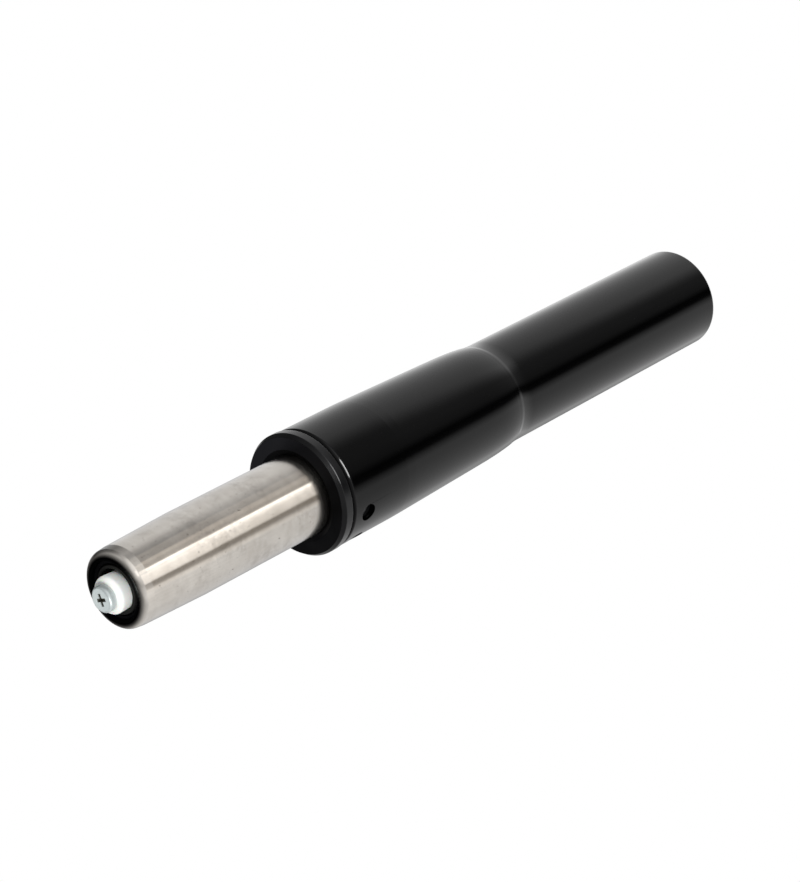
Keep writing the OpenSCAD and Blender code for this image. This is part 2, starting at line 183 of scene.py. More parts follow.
CROSS_WIDTH = 1.2
CROSS_DEPTH = 1.3
CROSS_TURNS = (-15.4, 74.6)

# The cross narrows from above the screw's head to its bottom, by these shares of its length and width
CROSS_ABOVE = 0.3
CROSS_TOP_SHARES = (1.05, 1.05)
CROSS_BOTTOM_SHARES = (0.62, 0.7)

# The painted dark reflection under the rim: degrees round the tube between which it grows, deepens and fades
DARK_REFLECTION_GROWS = (39, 60)
DARK_REFLECTION_DEEPENS = (66, 80)
DARK_REFLECTION_FADES = (105, 130)

# Painted shade on the inner part of the rim's top: outwards, it turns from unmetallic to metal between the
# first radii, and from dark to bright between the others
RIM_SHADE_TO_METAL = (10.2, 10.6)
RIM_BRIGHT = (10.8, 11.6)

# From the tip towards the camera
CAMERA_WAY = (Vector(CAMERA_AT) - Vector((0, 0, RIM_TOP))).normalized()


def polar(r, angle):
    """A point at an angle in degrees, 0 towards +X."""
    turn = math.radians(angle)
    return Vector((r * math.cos(turn), r * math.sin(turn), 0))


def rounded(corners):
    """An outline from corners of radius, height and, where it is round, the rounding."""
    points = []
    count = len(corners)
    for index, corner in enumerate(corners):
        here = Vector(corner[:2])
        rounding = corner[2] if len(corner) > 2 else 0
        if not rounding:
            points.append(here)
            continue
        back = (Vector(corners[index - 1][:2]) - here).normalized()
        ahead = (Vector(corners[(index + 1) % count][:2]) - here).normalized()
        half = back.angle(ahead) / 2
        reach = rounding / math.tan(half)
        middle = here + (back + ahead).normalized() * rounding / math.sin(half)
        start = here + back * reach - middle
        end = here + ahead * reach - middle
        sweep = start.angle_signed(end)
        steps = max(2, math.ceil(abs(sweep) / ARC_STEP))
        for step in range(steps + 1):
            spoke = start.copy()
            spoke.rotate(Matrix.Rotation(-sweep * step / steps, 2))
            points.append(middle + spoke)
    return points


def bowed(start, end, bow, steps=12):
    """Points of a shallow arc between two points, bowed to the right of its way by bow."""
    first, last = Vector(start), Vector(end)
    side = Vector((last.y - first.y, first.x - last.x)).normalized()
    points = []
    for step in range(1, steps):
        share = step / steps
        points.append(first.lerp(last, share) + side * bow * 4 * share * (1 - share))
    return [tuple(p) for p in points]


def with_edges(points):
    """Adds a point close to each end of every long stretch, so that shading stays flat between."""
    full = []
    count = len(points)
    for index, here in enumerate(points):
        ahead = points[(index + 1) % count]
        full.append(here)
        length = (ahead - here).length
        on_axis = max(here.x, ahead.x) < EDGE
        if length > 8 * EDGE and not on_axis:
            full.append(here.lerp(ahead, EDGE / length))
            full.append(here.lerp(ahead, 1 - EDGE / length))
    return full


def turned(bm, corners, steps=TURN_STEPS):
    """Turns a closed outline, given anticlockwise in radius and height, about the axis."""
    rings = []
    for r, z in with_edges(rounded(corners)):
        if r < 1e-6:
            rings.append([bm.verts.new((0, 0, z * MM))] * steps)
            continue
        ring = []
        for step in range(steps):
            place = polar(r * MM, 360 * step / steps)
            ring.append(bm.verts.new((place.x, place.y, z * MM)))
        rings.append(ring)
    for index, ring in enumerate(rings):
        above = rings[(index + 1) % len(rings)]
        for step in range(steps):
            after = (step + 1) % steps
            loop = [ring[step], ring[after], above[after], above[step]]
            loop = [v for i, v in enumerate(loop) if v not in loop[:i]]
            if len(loop) > 2:
                bm.faces.new(loop)


def finished(name, bm, material, body, nodes):
    """Makes a piece of the mesh, smooth between its sharp edges, which rides on a body for its nodes."""
    mesh = bpy.data.meshes.new(name)
    bm.to_mesh(mesh)
    bm.free()
    for face in mesh.polygons:
        face.use_smooth = True
    mesh.set_sharp_from_angle(angle=math.radians(SKIN_SHARP))
    piece = bpy.data.objects.new(name, mesh)
    bpy.context.scene.collection.objects.link(piece)
    mesh.materials.append(material)
    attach(piece, body)
    if nodes:
        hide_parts(*nodes)
    return piece


def cut(bm, cutter, crossing=False):
    """Takes the cutter's closed mesh, whose pieces may cross, out of the mesh; returns a new mesh."""
    scene = bpy.context.scene
    objects = []
    for part in (bm, cutter):
        mesh = bpy.data.meshes.new("cut_work")
        part.to_mesh(mesh)
        part.free()
        work = bpy.data.objects.new("cut_work", mesh)
        scene.collection.objects.link(work)
        objects.append(work)
    modifier = objects[0].modifiers.new("cut", "BOOLEAN")
    modifier.object = objects[1]
    modifier.solver = "EXACT"
    modifier.operation = "DIFFERENCE"
    modifier.use_self = crossing
    bpy.context.view_layer.update()
    graph = bpy.context.evaluated_depsgraph_get()
    result = bmesh.new()
    result.from_mesh(objects[0].evaluated_get(graph).to_mesh())
    for work in objects:
        mesh = work.data
        bpy.data.objects.remove(work)
        bpy.data.meshes.remove(mesh)
    return result


def radial_bar(bm, turn, outline, steps=64):
    """Turns an outline of radius and reach about a radial axis at the height of the pips."""
    axis = polar(1, turn)
    side = polar(1, turn + 90)
    height = Vector((0, 0, (STAND_TOP - PIP_DEPTH) * MM))
    rings = []
    for r, reach in outline:
        middle = axis * reach * MM + height
        if r == 0:
            rings.append([bm.verts.new(middle)] * steps)
            continue
        ring = []
        for step in range(steps):
            spoke = polar(r * MM, 360 * step / steps)
            ring.append(bm.verts.new(middle + side * spoke.x + Vector((0, 0, spoke.y))))
        rings.append(ring)
    for ring, above in zip(rings, rings[1:]):
        for step in range(steps):
            after = (step + 1) % steps
            loop = [ring[step], ring[after], above[after], above[step]]
            loop = [v for i, v in enumerate(loop) if v not in loop[:i]]
            bm.faces.new(loop)
    bmesh.ops.recalc_face_normals(bm, faces=bm.faces)


class Nodes:
    """Adds nodes to one node tree. An input is a value or another node's output."""

    def __init__(self, owner):
        owner.use_nodes = True
        self.tree = owner.node_tree
        self.tree.nodes.clear()

    def add(self, kind, inputs=None, **settings):
        made = self.tree.nodes.new(kind)
        for key, value in settings.items():
            setattr(made, key, value)
        for key, value in (inputs or {}).items():
            if isinstance(value, bpy.types.NodeSocket):
                self.tree.links.new(value, made.inputs[key])
            else:
                made.inputs[key].default_value = value
        return made

    def math(self, operation, first, second):
        return self.add("ShaderNodeMath", {0: first, 1: second}, operation=operation).outputs[0]

    def times(self, *values):
        product = values[0]
        for value in values[1:]:
            product = self.math("MULTIPLY", product, value)
        return product

    def mapped(self, value, low, high, to_low=0.0, to_high=1.0, smooth=False):
        kind = "SMOOTHSTEP" if smooth else "LINEAR"
        inputs = {"Value": value, "From Min": low, "From Max": high, "To Min": to_low, "To Max": to_high}
        return self.add("ShaderNodeMapRange", inputs, interpolation_type=kind).outputs["Result"]

    def ramp(self, value, stops):
        made = self.add("ShaderNodeValToRGB", {"Fac": value})
        elements = made.color_ramp.elements
        while len(elements) < len(stops):
            elements.new(1)
        for element, (place, colour) in zip(elements, stops):
            element.position = place
            element.color = (*colour, 1)
        return made.outputs["Color"]

    def noise(self, vector, scale, detail=2.0, roughness=0.5):
        inputs = {"Vector": vector, "Scale": scale, "Detail": detail, "Roughness": roughness}
        return self.add("ShaderNodeTexNoise", inputs).outputs["Fac"]

    def mix(self, share, first, second):
        made = self.add("ShaderNodeMix", {0: share}, data_type="RGBA")
        for socket, value in zip(made.inputs[6:8], (first, second)):
            if isinstance(value, bpy.types.NodeSocket):
                self.tree.links.new(value, socket)
            else:
                socket.default_value = (*value, 1)
        return made.outputs[2]

    def bump(self, height, strength, distance):
        inputs = {"Height": height, "Strength": strength, "Distance": distance}
        return self.add("ShaderNodeBump", inputs).outputs["Normal"]

    def place(self):
        return self.add("ShaderNodeTexCoord").outputs["Object"]


def grey(value):
    return (value, value, value)


def surface(name):
    """A new material with its node tree and a principled shader on its output."""
    material = bpy.data.materials.new(name)
    nodes = Nodes(material)
    shader = nodes.add("ShaderNodeBsdfPrincipled")
    nodes.add("ShaderNodeOutputMaterial", {"Surface": shader.outputs["BSDF"]})
    return material, nodes, shader


def feed(nodes, shader, **inputs):
    """Sets or links the shader's inputs; an underscore stands for a space in a name."""
    for key, value in inputs.items():
        socket = shader.inputs[key.replace("_", " ")]
        if isinstance(value, bpy.types.NodeSocket):
            nodes.tree.links.new(value, socket)
        elif socket.type == "RGBA":
            socket.default_value = (*value, 1)
        else:
            socket.default_value = value


def reach_of(nodes, place):
    """Distance of a place from the axis, in metres."""
    level = nodes.add("ShaderNodeVectorMath", {0: place, 1: (1, 1, 0)}, operation="MULTIPLY").outputs[0]
    return nodes.add("ShaderNodeVectorMath", {0: level}, operation="LENGTH").outputs["Value"]


def across(nodes, value, low, high, to_low=0.0, to_high=1.0):
    """Goes between two numbers while a length goes between two others, in millimetres."""
    return nodes.mapped(value, low * MM, high * MM, to_low, to_high)


def band(nodes, height, low, low_full, high_full, high):
    """1 between the inner two of four heights, falling to 0 at the outer two."""
    rising = across(nodes, height, low, low_full)
    falling = across(nodes, height, high_full, high, 1.0, 0.0)
    return nodes.times(rising, falling)


def black_paint():
    """Satin paint with a fine peel and some dust; painted shade takes much of its shine away inside the
    holes and on the top edge.
    """
    material, nodes, shader = surface("black_paint")
    place = nodes.place()
    peel = nodes.noise(place, 700, 2)
    cloud = nodes.noise(place, 45, 3)
    dust = nodes.mapped(nodes.noise(place, 1500, 1), 0.74, 0.80)
    colour = nodes.mix(dust, (0.0008, 0.0008, 0.0009), (0.010, 0.010, 0.010))
    height = nodes.add("ShaderNodeSeparateXYZ", {0: place}).outputs["Z"]
    # Painted shade: the paint loses much of its shine on the walls of the holes and on the tube's top edge,
    # to darken them.
    hole_end = STAND_TOP - 2 * TOP_ROUND
    drilled = band(nodes, height, TAPER_TOP + 5, TAPER_TOP + 6, hole_end, hole_end + 0.1)
    inside = across(nodes, reach_of(nodes, place), STAND_R - 0.25, STAND_R - 0.1, 1.0, 0.0)
    end = across(nodes, height, STAND_TOP - TOP_ROUND, STAND_TOP - TOP_ROUND / 2, 0.0, 0.7)
    dark = nodes.math("MAXIMUM", end, nodes.times(drilled, inside))
    shine = nodes.mapped(dark, 0.0, 1.0, 0.5, 0.05)
    feed(nodes, shader, Base_Color=colour, IOR=1.5, Specular_IOR_Level=shine,
         Roughness=nodes.mapped(cloud, 0.3, 0.7, 0.10, 0.14),
         Normal=nodes.bump(peel, 0.05, 0.00002))
    return material


def black_plastic():
    """Moulded plastic with a greyer collar; painted shade takes the shine off faces that look up, and
    painted light makes the bush's top paler on one side.
    """
    material, nodes, shader = surface("black_plastic")
    place = nodes.place()
    parts = nodes.add("ShaderNodeSeparateXYZ", {0: place})
    normal = nodes.add("ShaderNodeNewGeometry").outputs["Normal"]
    upward = nodes.add("ShaderNodeSeparateXYZ", {0: normal}).outputs["Z"]
    reach = reach_of(nodes, place)
    grain = nodes.noise(place, 2600, 3)
    cloud = nodes.noise(place, 120, 3)
    colour = nodes.mix(cloud, (0.002, 0.002, 0.0022), (0.006, 0.006, 0.0065))
    beyond_collar = across(nodes, reach, COLLAR_R, COLLAR_R + 0.2)
    colour = nodes.mix(beyond_collar, (0.016, 0.016, 0.015), colour)
    on_bush = across(nodes, reach, SEAT_R - 1, SEAT_R)
    # Painted light: the bush's top is paler towards +X, standing in for light that falls on that side.
    painted_lit_side = nodes.times(across(nodes, parts.outputs["X"], -4, 8), on_bush, nodes.mapped(upward, 0.9, 0.98))
    colour = nodes.mix(painted_lit_side, colour, (0.011, 0.011, 0.0125))
    # Painted shade: faces that look up lose most of their shine; the plug's sides keep less shine than the
    # bush's.
    side_shine = nodes.mapped(on_bush, 0.0, 1.0, 0.12, 0.5)
    shine = nodes.mapped(upward, 0.15, 0.7, side_shine, 0.03)
    feed(nodes, shader, Base_Color=colour, IOR=1.53, Specular_IOR_Level=shine,
         Roughness=nodes.mapped(cloud, 0.3, 0.7, 0.16, 0.24),
         Normal=nodes.bump(grain, 0.04, 0.00001))
    return material


def round_place(nodes, place):
    """Coordinates on a turned surface: angle round it, 0 at the front, and height in metres."""
    parts = nodes.add("ShaderNodeSeparateXYZ", {0: place})
    angle = nodes.math("ARCTAN2", parts.outputs["X"], nodes.times(parts.outputs["Y"], -1.0))
    return angle, parts.outputs["Z"]


def drawn_noise(nodes, angle, height, round_scale, high_scale, detail):
    """A noise on the chrome tube with one scale round it and another along it."""
    way = nodes.times(angle, SPRING_R * MM * round_scale)
    place = nodes.add("ShaderNodeCombineXYZ", {"X": way, "Y": nodes.times(height, high_scale)})
    return nodes.noise(place.outputs[0], 1, detail, 0.6)


def grime_on(nodes, place, height):
    """Handling marks: soft grainy patches on the chrome that shows with the lift down."""
    patch = nodes.mapped(nodes.noise(place, 88, 2), 0.46, 0.60)
    grain = nodes.mapped(nodes.noise(place, 330, 6, 0.75), 0.38, 0.68)
    handled = band(nodes, height, STAND_TOP + 2, STAND_TOP + 22, RIM_TOP - 16, RIM_TOP - 8)
    return nodes.times(patch, grain, handled, 0.5)


def dark_reflection_on(nodes, angle, height):
    """The painted dark reflection under the rim."""
    def turn(degrees, to_low, to_high):
        start, end = degrees
        return nodes.mapped(angle, math.radians(start), math.radians(end), to_low, to_high)

    grown = nodes.math("ADD", turn(DARK_REFLECTION_GROWS, 0.0, 0.76), turn(DARK_REFLECTION_DEEPENS, 0.0, 0.18))
    below_rim = band(nodes, height, RIM_TOP - 5, RIM_TOP - 4.4, RIM_TOP - 1.9, RIM_TOP - 0.9)
    return nodes.times(grown, turn(DARK_REFLECTION_FADES, 1.0, 0.0), below_rim, 0.72)


def chrome():
    """Ground and plated steel with wiped, handled and specked places, a painted dark reflection under the
    rim, and painted shade on the inner part of the rim's top.
    """
    material, nodes, shader = surface("chrome")
    place = nodes.place()
    angle, height = round_place(nodes, place)
    ground = drawn_noise(nodes, angle, height, 60, 1400, 4)
    wipe = drawn_noise(nodes, angle, height, 90, 330, 3)
    cloud = nodes.noise(place, 70, 3)
    smear = nodes.noise(place, 110, 4, 0.6)
    worn = nodes.math("ADD", nodes.times(smear, 0.7), nodes.times(wipe, 0.3))
    tint = nodes.mix(nodes.mapped(worn, 0.38, 0.62), (0.765, 0.715, 0.655), (0.855, 0.81, 0.75))
    speck = nodes.mapped(nodes.noise(place, 1100, 1), 0.73, 0.78)
    tint = nodes.mix(speck, tint, (0.42, 0.38, 0.35))
    tint = nodes.mix(grime_on(nodes, place, height), tint, (0.46, 0.42, 0.38))
    wander = nodes.times(nodes.math("SUBTRACT", smear, 0.5), 2 * MM)
    # Painted reflection: a dark crescent just under the rim on the +X side.
    painted_dark_reflection = dark_reflection_on(nodes, angle, nodes.math("ADD", height, wander))
    tint = nodes.mix(painted_dark_reflection, tint, (0.02, 0.015, 0.012))
    reach = reach_of(nodes, place)
    # Painted shade: the inner part of the rim's top is dark and not metal.
    tint = nodes.mix(across(nodes, reach, *RIM_BRIGHT), grey(0.004), tint)
    metal_past_shade = across(nodes, reach, *RIM_SHADE_TO_METAL)
    round_axis = nodes.add("ShaderNodeTangent", direction_type="RADIAL", axis="Z").outputs[0]
    feed(nodes, shader, Base_Color=tint, Metallic=metal_past_shade, Specular_Tint=(0.80, 0.815, 0.84),
         Specular_IOR_Level=nodes.times(metal_past_shade, 0.5),
         Anisotropic=0.9, Anisotropic_Rotation=0.25,
         Tangent=round_axis, Roughness=nodes.mapped(cloud, 0.3, 0.7, 0.15, 0.19),
         Normal=nodes.bump(ground, 0.07, 0.00001))
    return material


def white_plastic():
    """Slightly cloudy satin plastic."""
    material, nodes, shader = surface("white_plastic")
    place = nodes.place()
    cloud = nodes.noise(place, 260, 3)
    colour = nodes.mix(cloud, (0.80, 0.82, 0.79), (0.88, 0.89, 0.87))
    feed(nodes, shader, Base_Color=colour, IOR=1.46, Roughness=0.38,
         Subsurface_Weight=0.15, Subsurface_Scale=0.0008,
         Normal=nodes.bump(nodes.noise(place, 1800, 2), 0.04, 0.00002))
    return material


def metal(name, dark, light, low, high, scale=400):
    """A plated or machined metal, mottled between two colours and two roughnesses."""
    material, nodes, shader = surface(name)
    place = nodes.place()
    mottle = nodes.noise(place, scale, 4, 0.6)
    spread = nodes.mapped(mottle, 0.3, 0.7)
    feed(nodes, shader, Base_Color=nodes.mix(spread, dark, light), Metallic=1.0,
         Roughness=nodes.mapped(mottle, 0.3, 0.7, low, high),
         Normal=nodes.bump(nodes.noise(place, 2400, 2), 0.05, 0.00001))
    return material


def screw_zinc():
    """Plated steel whose cross recess is coloured dark yellowish and less metallic."""
    material, nodes, shader = surface("screw_zinc")
    place = nodes.place()
    mottle = nodes.noise(place, 500, 4, 0.6)
    plated = nodes.mix(nodes.mapped(mottle, 0.3, 0.7), (0.54, 0.60, 0.60), (0.66, 0.72, 0.715))
    height = nodes.add("ShaderNodeSeparateXYZ", {0: place}).outputs["Z"]
    # Below the top face, inside the cross recess, the colour is dark yellowish and less metallic.
    face = across(nodes, height, SCREW_TOP - 0.35, SCREW_TOP - 0.1)
    middle = Vector((*SCREW_SHIFT, 0)) * MM
    from_middle = nodes.add("ShaderNodeVectorMath", {0: place, 1: middle}, operation="SUBTRACT").outputs[0]
    outside = across(nodes, reach_of(nodes, from_middle), CROSS_LENGTH / 2 + 0.2, CROSS_LENGTH / 2 + 0.4)
    off_recess = nodes.math("MAXIMUM", face, outside)
    feed(nodes, shader, Base_Color=nodes.mix(off_recess, (0.035, 0.034, 0.022), plated),
         Metallic=nodes.times(off_recess, 0.4),
         Roughness=nodes.mapped(mottle, 0.3, 0.7, 0.30, 0.42),
         Normal=nodes.bump(nodes.noise(place, 2400, 2), 0.05, 0.00001))
    return material


def dull(name, dark, light, roughness, scale=300):
    """Rubber or a matt plastic with a fine grain."""
    material, nodes, shader = surface(name)
    place = nodes.place()
    mottle = nodes.noise(place, scale, 3)
    feed(nodes, shader, Base_Color=nodes.mix(mottle, dark, light), Roughness=roughness,
         Normal=nodes.bump(nodes.noise(place, 2200, 2), 0.15, 0.00003))
    return material


MATERIALS = {
    "black_paint": black_paint(),
    "chrome": chrome(),
    "black_plastic": black_plastic(),
    "white_plastic": white_plastic(),
    "zinc_steel": metal("zinc_steel", (0.56, 0.60, 0.61), (0.74, 0.78, 0.77), 0.28, 0.42),
    "bright_steel": metal("bright_steel", (0.56, 0.57, 0.58), (0.68, 0.69, 0.70), 0.12, 0.22),
    "spring_steel": metal("spring_steel", (0.10, 0.105, 0.115), (0.20, 0.205, 0.22), 0.30, 0.45),
    "brass": metal("brass", (0.52, 0.38, 0.15), (0.66, 0.51, 0.24), 0.22, 0.34),
    "alloy": metal("alloy", (0.60, 0.61, 0.63), (0.74, 0.75, 0.77), 0.25, 0.38),
    "rubber": dull("rubber", grey(0.012), grey(0.024), 0.75),
    "ring_plastic": dull("ring_plastic", (0.66, 0.64, 0.57), (0.76, 0.74, 0.67), 0.5),
}


def shoulder_line(foot_r, foot, steps=24):
    """Points from the crease up to the taper: the taper's slope goes on, and falls away at the crease."""
    rise = TAPER_FOOT - foot
    fall = TAPER_FOOT_R - SEAT_SLOPE * rise - foot_r
    points = []
    for step in range(steps - 2, 0, -1):
        share = step / steps
        r = TAPER_FOOT_R - SEAT_SLOPE * rise * share - fall * share ** 4
        points.append((r, TAPER_FOOT - rise * share))
    return points


def soften_holes(bm):
    """Bevels the outer edges of the holes for the pips."""
    height = (STAND_TOP - PIP_DEPTH) * MM
    reach = (HOLE_R + PIP_ROOM) * MM
    rims = []
    for edge in bm.edges:
        middle = (edge.verts[0].co + edge.verts[1].co) / 2
        outside = middle.xy.length > (STAND_R - STAND_WALL / 2) * MM
        sharp = edge.calc_face_angle(0) > math.radians(HOLE_SHARP)
        if outside and sharp and abs(middle.z - height) < reach:
            rims.append(edge)
    bmesh.ops.bevel(bm, geom=rims, offset=HOLE_BEVEL * MM, segments=2, profile=0.5, affect="EDGES")


def shade_as_round(mesh, low, high):
    """Shades the outside of a drilled wall as a plain round tube between two heights."""
    normals = []
    for face in mesh.polygons:
        for corner in face.loop_indices:
            place = mesh.vertices[mesh.loops[corner].vertex_index].co
            outward = Vector((place.x, place.y, 0)).normalized()
            between = (low - EDGE) * MM < place.z < (high + EDGE) * MM
            on_wall = between and face.normal.dot(outward) > FACES_OUT
            normals.append(outward if on_wall else Vector((0, 0, 0)))
    mesh.normals_split_custom_set(normals)


def stand_skin():
    """The stand tube up to its top edge, with the holes for the pips."""
    crease_r = LOWER_R + BLEND_DEPTH
    shoulder_r = crease_r + CREASE_DEPTH
    crease_low = CREASE - CREASE_HEIGHT / 2
    crease_top = CREASE + CREASE_HEIGHT / 2
    bore_r = LOWER_R - STAND_WALL
    blend = [(LOWER_R, CREASE - BLEND_LENGTH), (crease_r, crease_low)]
    bm = bmesh.new()
    turned(bm, [
        (LIP_R, STAND_FOOT, SOFT_ROUND), (LOWER_R, STAND_FOOT, FOOT_ROUND),
        blend[0], *bowed(*blend, BLEND_BOW), (*blend[1], CREASE_ROUND),
        (shoulder_r, crease_top, CREASE_ROUND), *shoulder_line(shoulder_r, crease_top),
        (TAPER_FOOT_R, TAPER_FOOT), (STAND_R, TAPER_TOP, TAPER_ROUND), (STAND_R, EDGE_FOOT),
        (STAND_R - STAND_WALL, EDGE_FOOT), (STAND_R - STAND_WALL, TAPER_TOP),
        (TAPER_FOOT_R - STAND_WALL, TAPER_FOOT),
        (bore_r, CREASE - BLEND_LENGTH), (bore_r, LIP_HEIGHT, SOFT_ROUND), (LIP_R, LIP_HEIGHT, SOFT_ROUND),
    ])
    drill = bmesh.new()
    for turn in PIP_TURNS:
        near = STAND_R - 1.5 * STAND_WALL
        far = STAND_R + STAND_WALL
        radial_bar(drill, turn, [(0, near), (HOLE_R, near), (HOLE_R, far), (0, far)])
    drilled = cut(bm, drill)
    soften_holes(drilled)
    skin = finished("stand_skin", drilled, MATERIALS["black_paint"], "stand",
                    ["stand_tube"])
    shade_as_round(skin.data, TAPER_TOP + TAPER_REACH, EDGE_FOOT)
    return skin


def edge_skin():
    """The rounded top edge of the stand tube, which has a light of its own."""
    bm = bmesh.new()
    turned(bm, [
        (STAND_R - STAND_WALL, EDGE_FOOT), (STAND_R, EDGE_FOOT), (STAND_R, STAND_TOP, TOP_ROUND),
        (STAND_R - STAND_WALL, STAND_TOP, SMALL_ROUND),
    ])
    return finished("edge_skin", bm, MATERIALS["black_paint"], "stand", [])


def bush_skin():
    """The bush without the outer part of its flange, with its pips."""
    bore = SPRING_R + FIT_ROOM
    wall_r = STAND_R - STAND_WALL - FIT_ROOM
    bm = bmesh.new()
    turned(bm, [
        (bore, BUSH_FOOT, SMALL_ROUND), (BUSH_FOOT_R, BUSH_FOOT, SMALL_ROUND),
        (TAPER_FOOT_R - STAND_WALL - FIT_ROOM, TAPER_FOOT), (wall_r, TAPER_TOP), (wall_r, STAND_TOP),
        (SHADE_R, STAND_TOP), (SHADE_R, FLANGE_TOP),
        (bore + LEAD_WIDTH, FLANGE_TOP, FINE_ROUND), (bore, FLANGE_TOP - LEAD_DEPTH, SMALL_ROUND),
    ])
    r = PIP_D / 2
    root = bore + PIP_ROOT
    end = STAND_R - PIP_RECESS
    corner = 0.3 * SOFT_ROUND
    for turn in PIP_TURNS:
        radial_bar(bm, turn, [(0, root), (r, root), (r, end - SOFT_ROUND), (r - corner, end - corner),
                              (r - SOFT_ROUND, end), (0, end)])
    return finished("bush_skin", bm, MATERIALS["black_plastic"], "stand", ["guide_bush"])


def flange_skin():
    """The outer part of the bush's flange, over the gap at the tube's end."""
    gap_r = FLANGE_R - GAP_DEPTH
    gap_top = STAND_TOP + GAP_HEIGHT
    bm = bmesh.new()
    turned(bm, [
        (SHADE_R, STAND_TOP), (gap_r, STAND_TOP), (gap_r, gap_top), (FLANGE_R, gap_top, FINE_ROUND),
        (FLANGE_R, FLANGE_TOP - BEVEL_HEIGHT, BEVEL_ROUND),
        (FLANGE_R - BEVEL_WIDTH, FLANGE_TOP, FACE_ROUND), (SHADE_R, FLANGE_TOP),
    ])
    ring = finished("flange_skin", bm, MATERIALS["black_plastic"], "stand", [])
    ring.visible_glossy = False
    return ring


def spring_skin():
    """The pressure tube, with its seat taper and its rolled rim."""
    bore_r = SPRING_R - SPRING_WALL
    closed = SPRING_FOOT + SPRING_WALL
    rim_bore = SEAT_R - RIM_WIDTH
    under_rim = RIM_TOP - SPRING_WALL
    bm = bmesh.new()
    turned(bm, [
        (CLOSE_R, SPRING_FOOT, SMALL_ROUND), (SPRING_R, SPRING_FOOT, SPRING_FOOT_ROUND),
        (SPRING_R, SEAT_FOOT, SEAT_ROUND),
        (SEAT_R + SEAT_SLOPE * (ROLL_LINE - RIM_ROLL), RIM_TOP - ROLL_LINE),
        (SEAT_R - SEAT_SLOPE * RIM_ROLL - ROLL_LEAN, RIM_TOP, RIM_ROUND),
        (rim_bore, RIM_TOP, RIM_BORE_ROUND), (rim_bore, under_rim),
        (SEAT_R - RIM_ROLL, under_rim), (SEAT_R - SPRING_WALL, SEAT_TOP),
        (bore_r, SEAT_FOOT), (bore_r, closed, SMALL_ROUND), (CLOSE_R, closed, SMALL_ROUND),
    ])
    return finished("spring_skin", bm, MATERIALS["chrome"], "cylinder", ["pressure_tube"])


def cap_skin():
    """The plug inside the rim, with a groove and a collar round the button."""
    bore_r = PIN_R + PIN_ROOM
    lip_r = SEAT_R - RIM_WIDTH - FIT_ROOM
    shoulder = RIM_TOP - SPRING_WALL - FIT_ROOM
    groove = CAP_TOP - GROOVE_SINK
    collar_top = CAP_TOP + COLLAR_RISE
    well = BUTTON_FOOT - WELL_DEPTH
    bm = bmesh.new()
    turned(bm, [
        (bore_r, CAP_FOOT), (PACK_R, CAP_FOOT, SMALL_ROUND), (PACK_R, SEAT_FOOT),
        (SEAT_R - SPRING_WALL - FIT_ROOM, SEAT_TOP), (SEAT_R - RIM_ROLL, shoulder),
        (lip_r, shoulder), (lip_r, CAP_TOP, FACE_ROUND), (GROOVE_R, CAP_TOP, FINE_ROUND),
        (GROOVE_R, groove, FINE_ROUND), (COLLAR_R, groove, FINE_ROUND),
        (COLLAR_R, collar_top, COLLAR_ROUND), (COLLAR_BORE, collar_top, COLLAR_ROUND),
        (COLLAR_BORE, well, SMALL_ROUND), (bore_r, well),
    ])
    return finished("cap_skin", bm, MATERIALS["black_plastic"], "cylinder", ["valve_cap"])


def button_skin():
    """The release button, set a little to one side."""
    bore_r = PIN_R + FIT_ROOM
    bm = bmesh.new()
    turned(bm, [
        (bore_r, BUTTON_FOOT, FINE_ROUND), (BUTTON_FOOT_R, BUTTON_FOOT, SOFT_ROUND),
        (BUTTON_FOOT_R, BUTTON_STEP), (BUTTON_TOP_R, BUTTON_TOP, BUTTON_ROUND), (bore_r, BUTTON_TOP),
    ])
    bmesh.ops.translate(bm, verts=bm.verts, vec=Vector((*BUTTON_SHIFT, 0)) * MM)
    return finished("button_skin", bm, MATERIALS["white_plastic"], "button",
                    ["button_cap"])


def screw_skin():
    """The adjusting screw, with a cross recess in its head."""
    bm = bmesh.new()
    turned(bm, [
        (0, SCREW_FOOT), (SHANK_R, SCREW_FOOT, SMALL_ROUND), (SHANK_R, BUTTON_TOP),
        (SCREW_R, BUTTON_TOP, FINE_ROUND), (SCREW_R, SCREW_TOP, SCREW_ROUND), (0, SCREW_TOP),
    ], SCREW_STEPS)
    cross = bmesh.new()
    for turn in CROSS_TURNS:
        bar = bmesh.ops.create_cube(cross, size=1)["verts"]
        for vert in bar:
            deep = vert.co.z < 0
            length, width = CROSS_BOTTOM_SHARES if deep else CROSS_TOP_SHARES
            vert.co.x *= CROSS_LENGTH * length * MM
            vert.co.y *= CROSS_WIDTH * width * MM
            vert.co.z = (SCREW_TOP + (-CROSS_DEPTH if deep else CROSS_ABOVE)) * MM
        bmesh.ops.rotate(cross, verts=bar, matrix=Matrix.Rotation(math.radians(turn), 3, "Z"))
    slotted = cut(bm, cross, True)
    bmesh.ops.translate(slotted, verts=slotted.verts, vec=Vector((*SCREW_SHIFT, 0)) * MM)
    return finished("screw_skin", slotted, screw_zinc(), "button", ["adjusting_screw"])


stand = stand_skin()
edge = edge_skin()
bush = bush_skin()
flange = flange_skin()
spring = spring_skin()
cap = cap_skin()
button = button_skin()
screw = screw_skin()


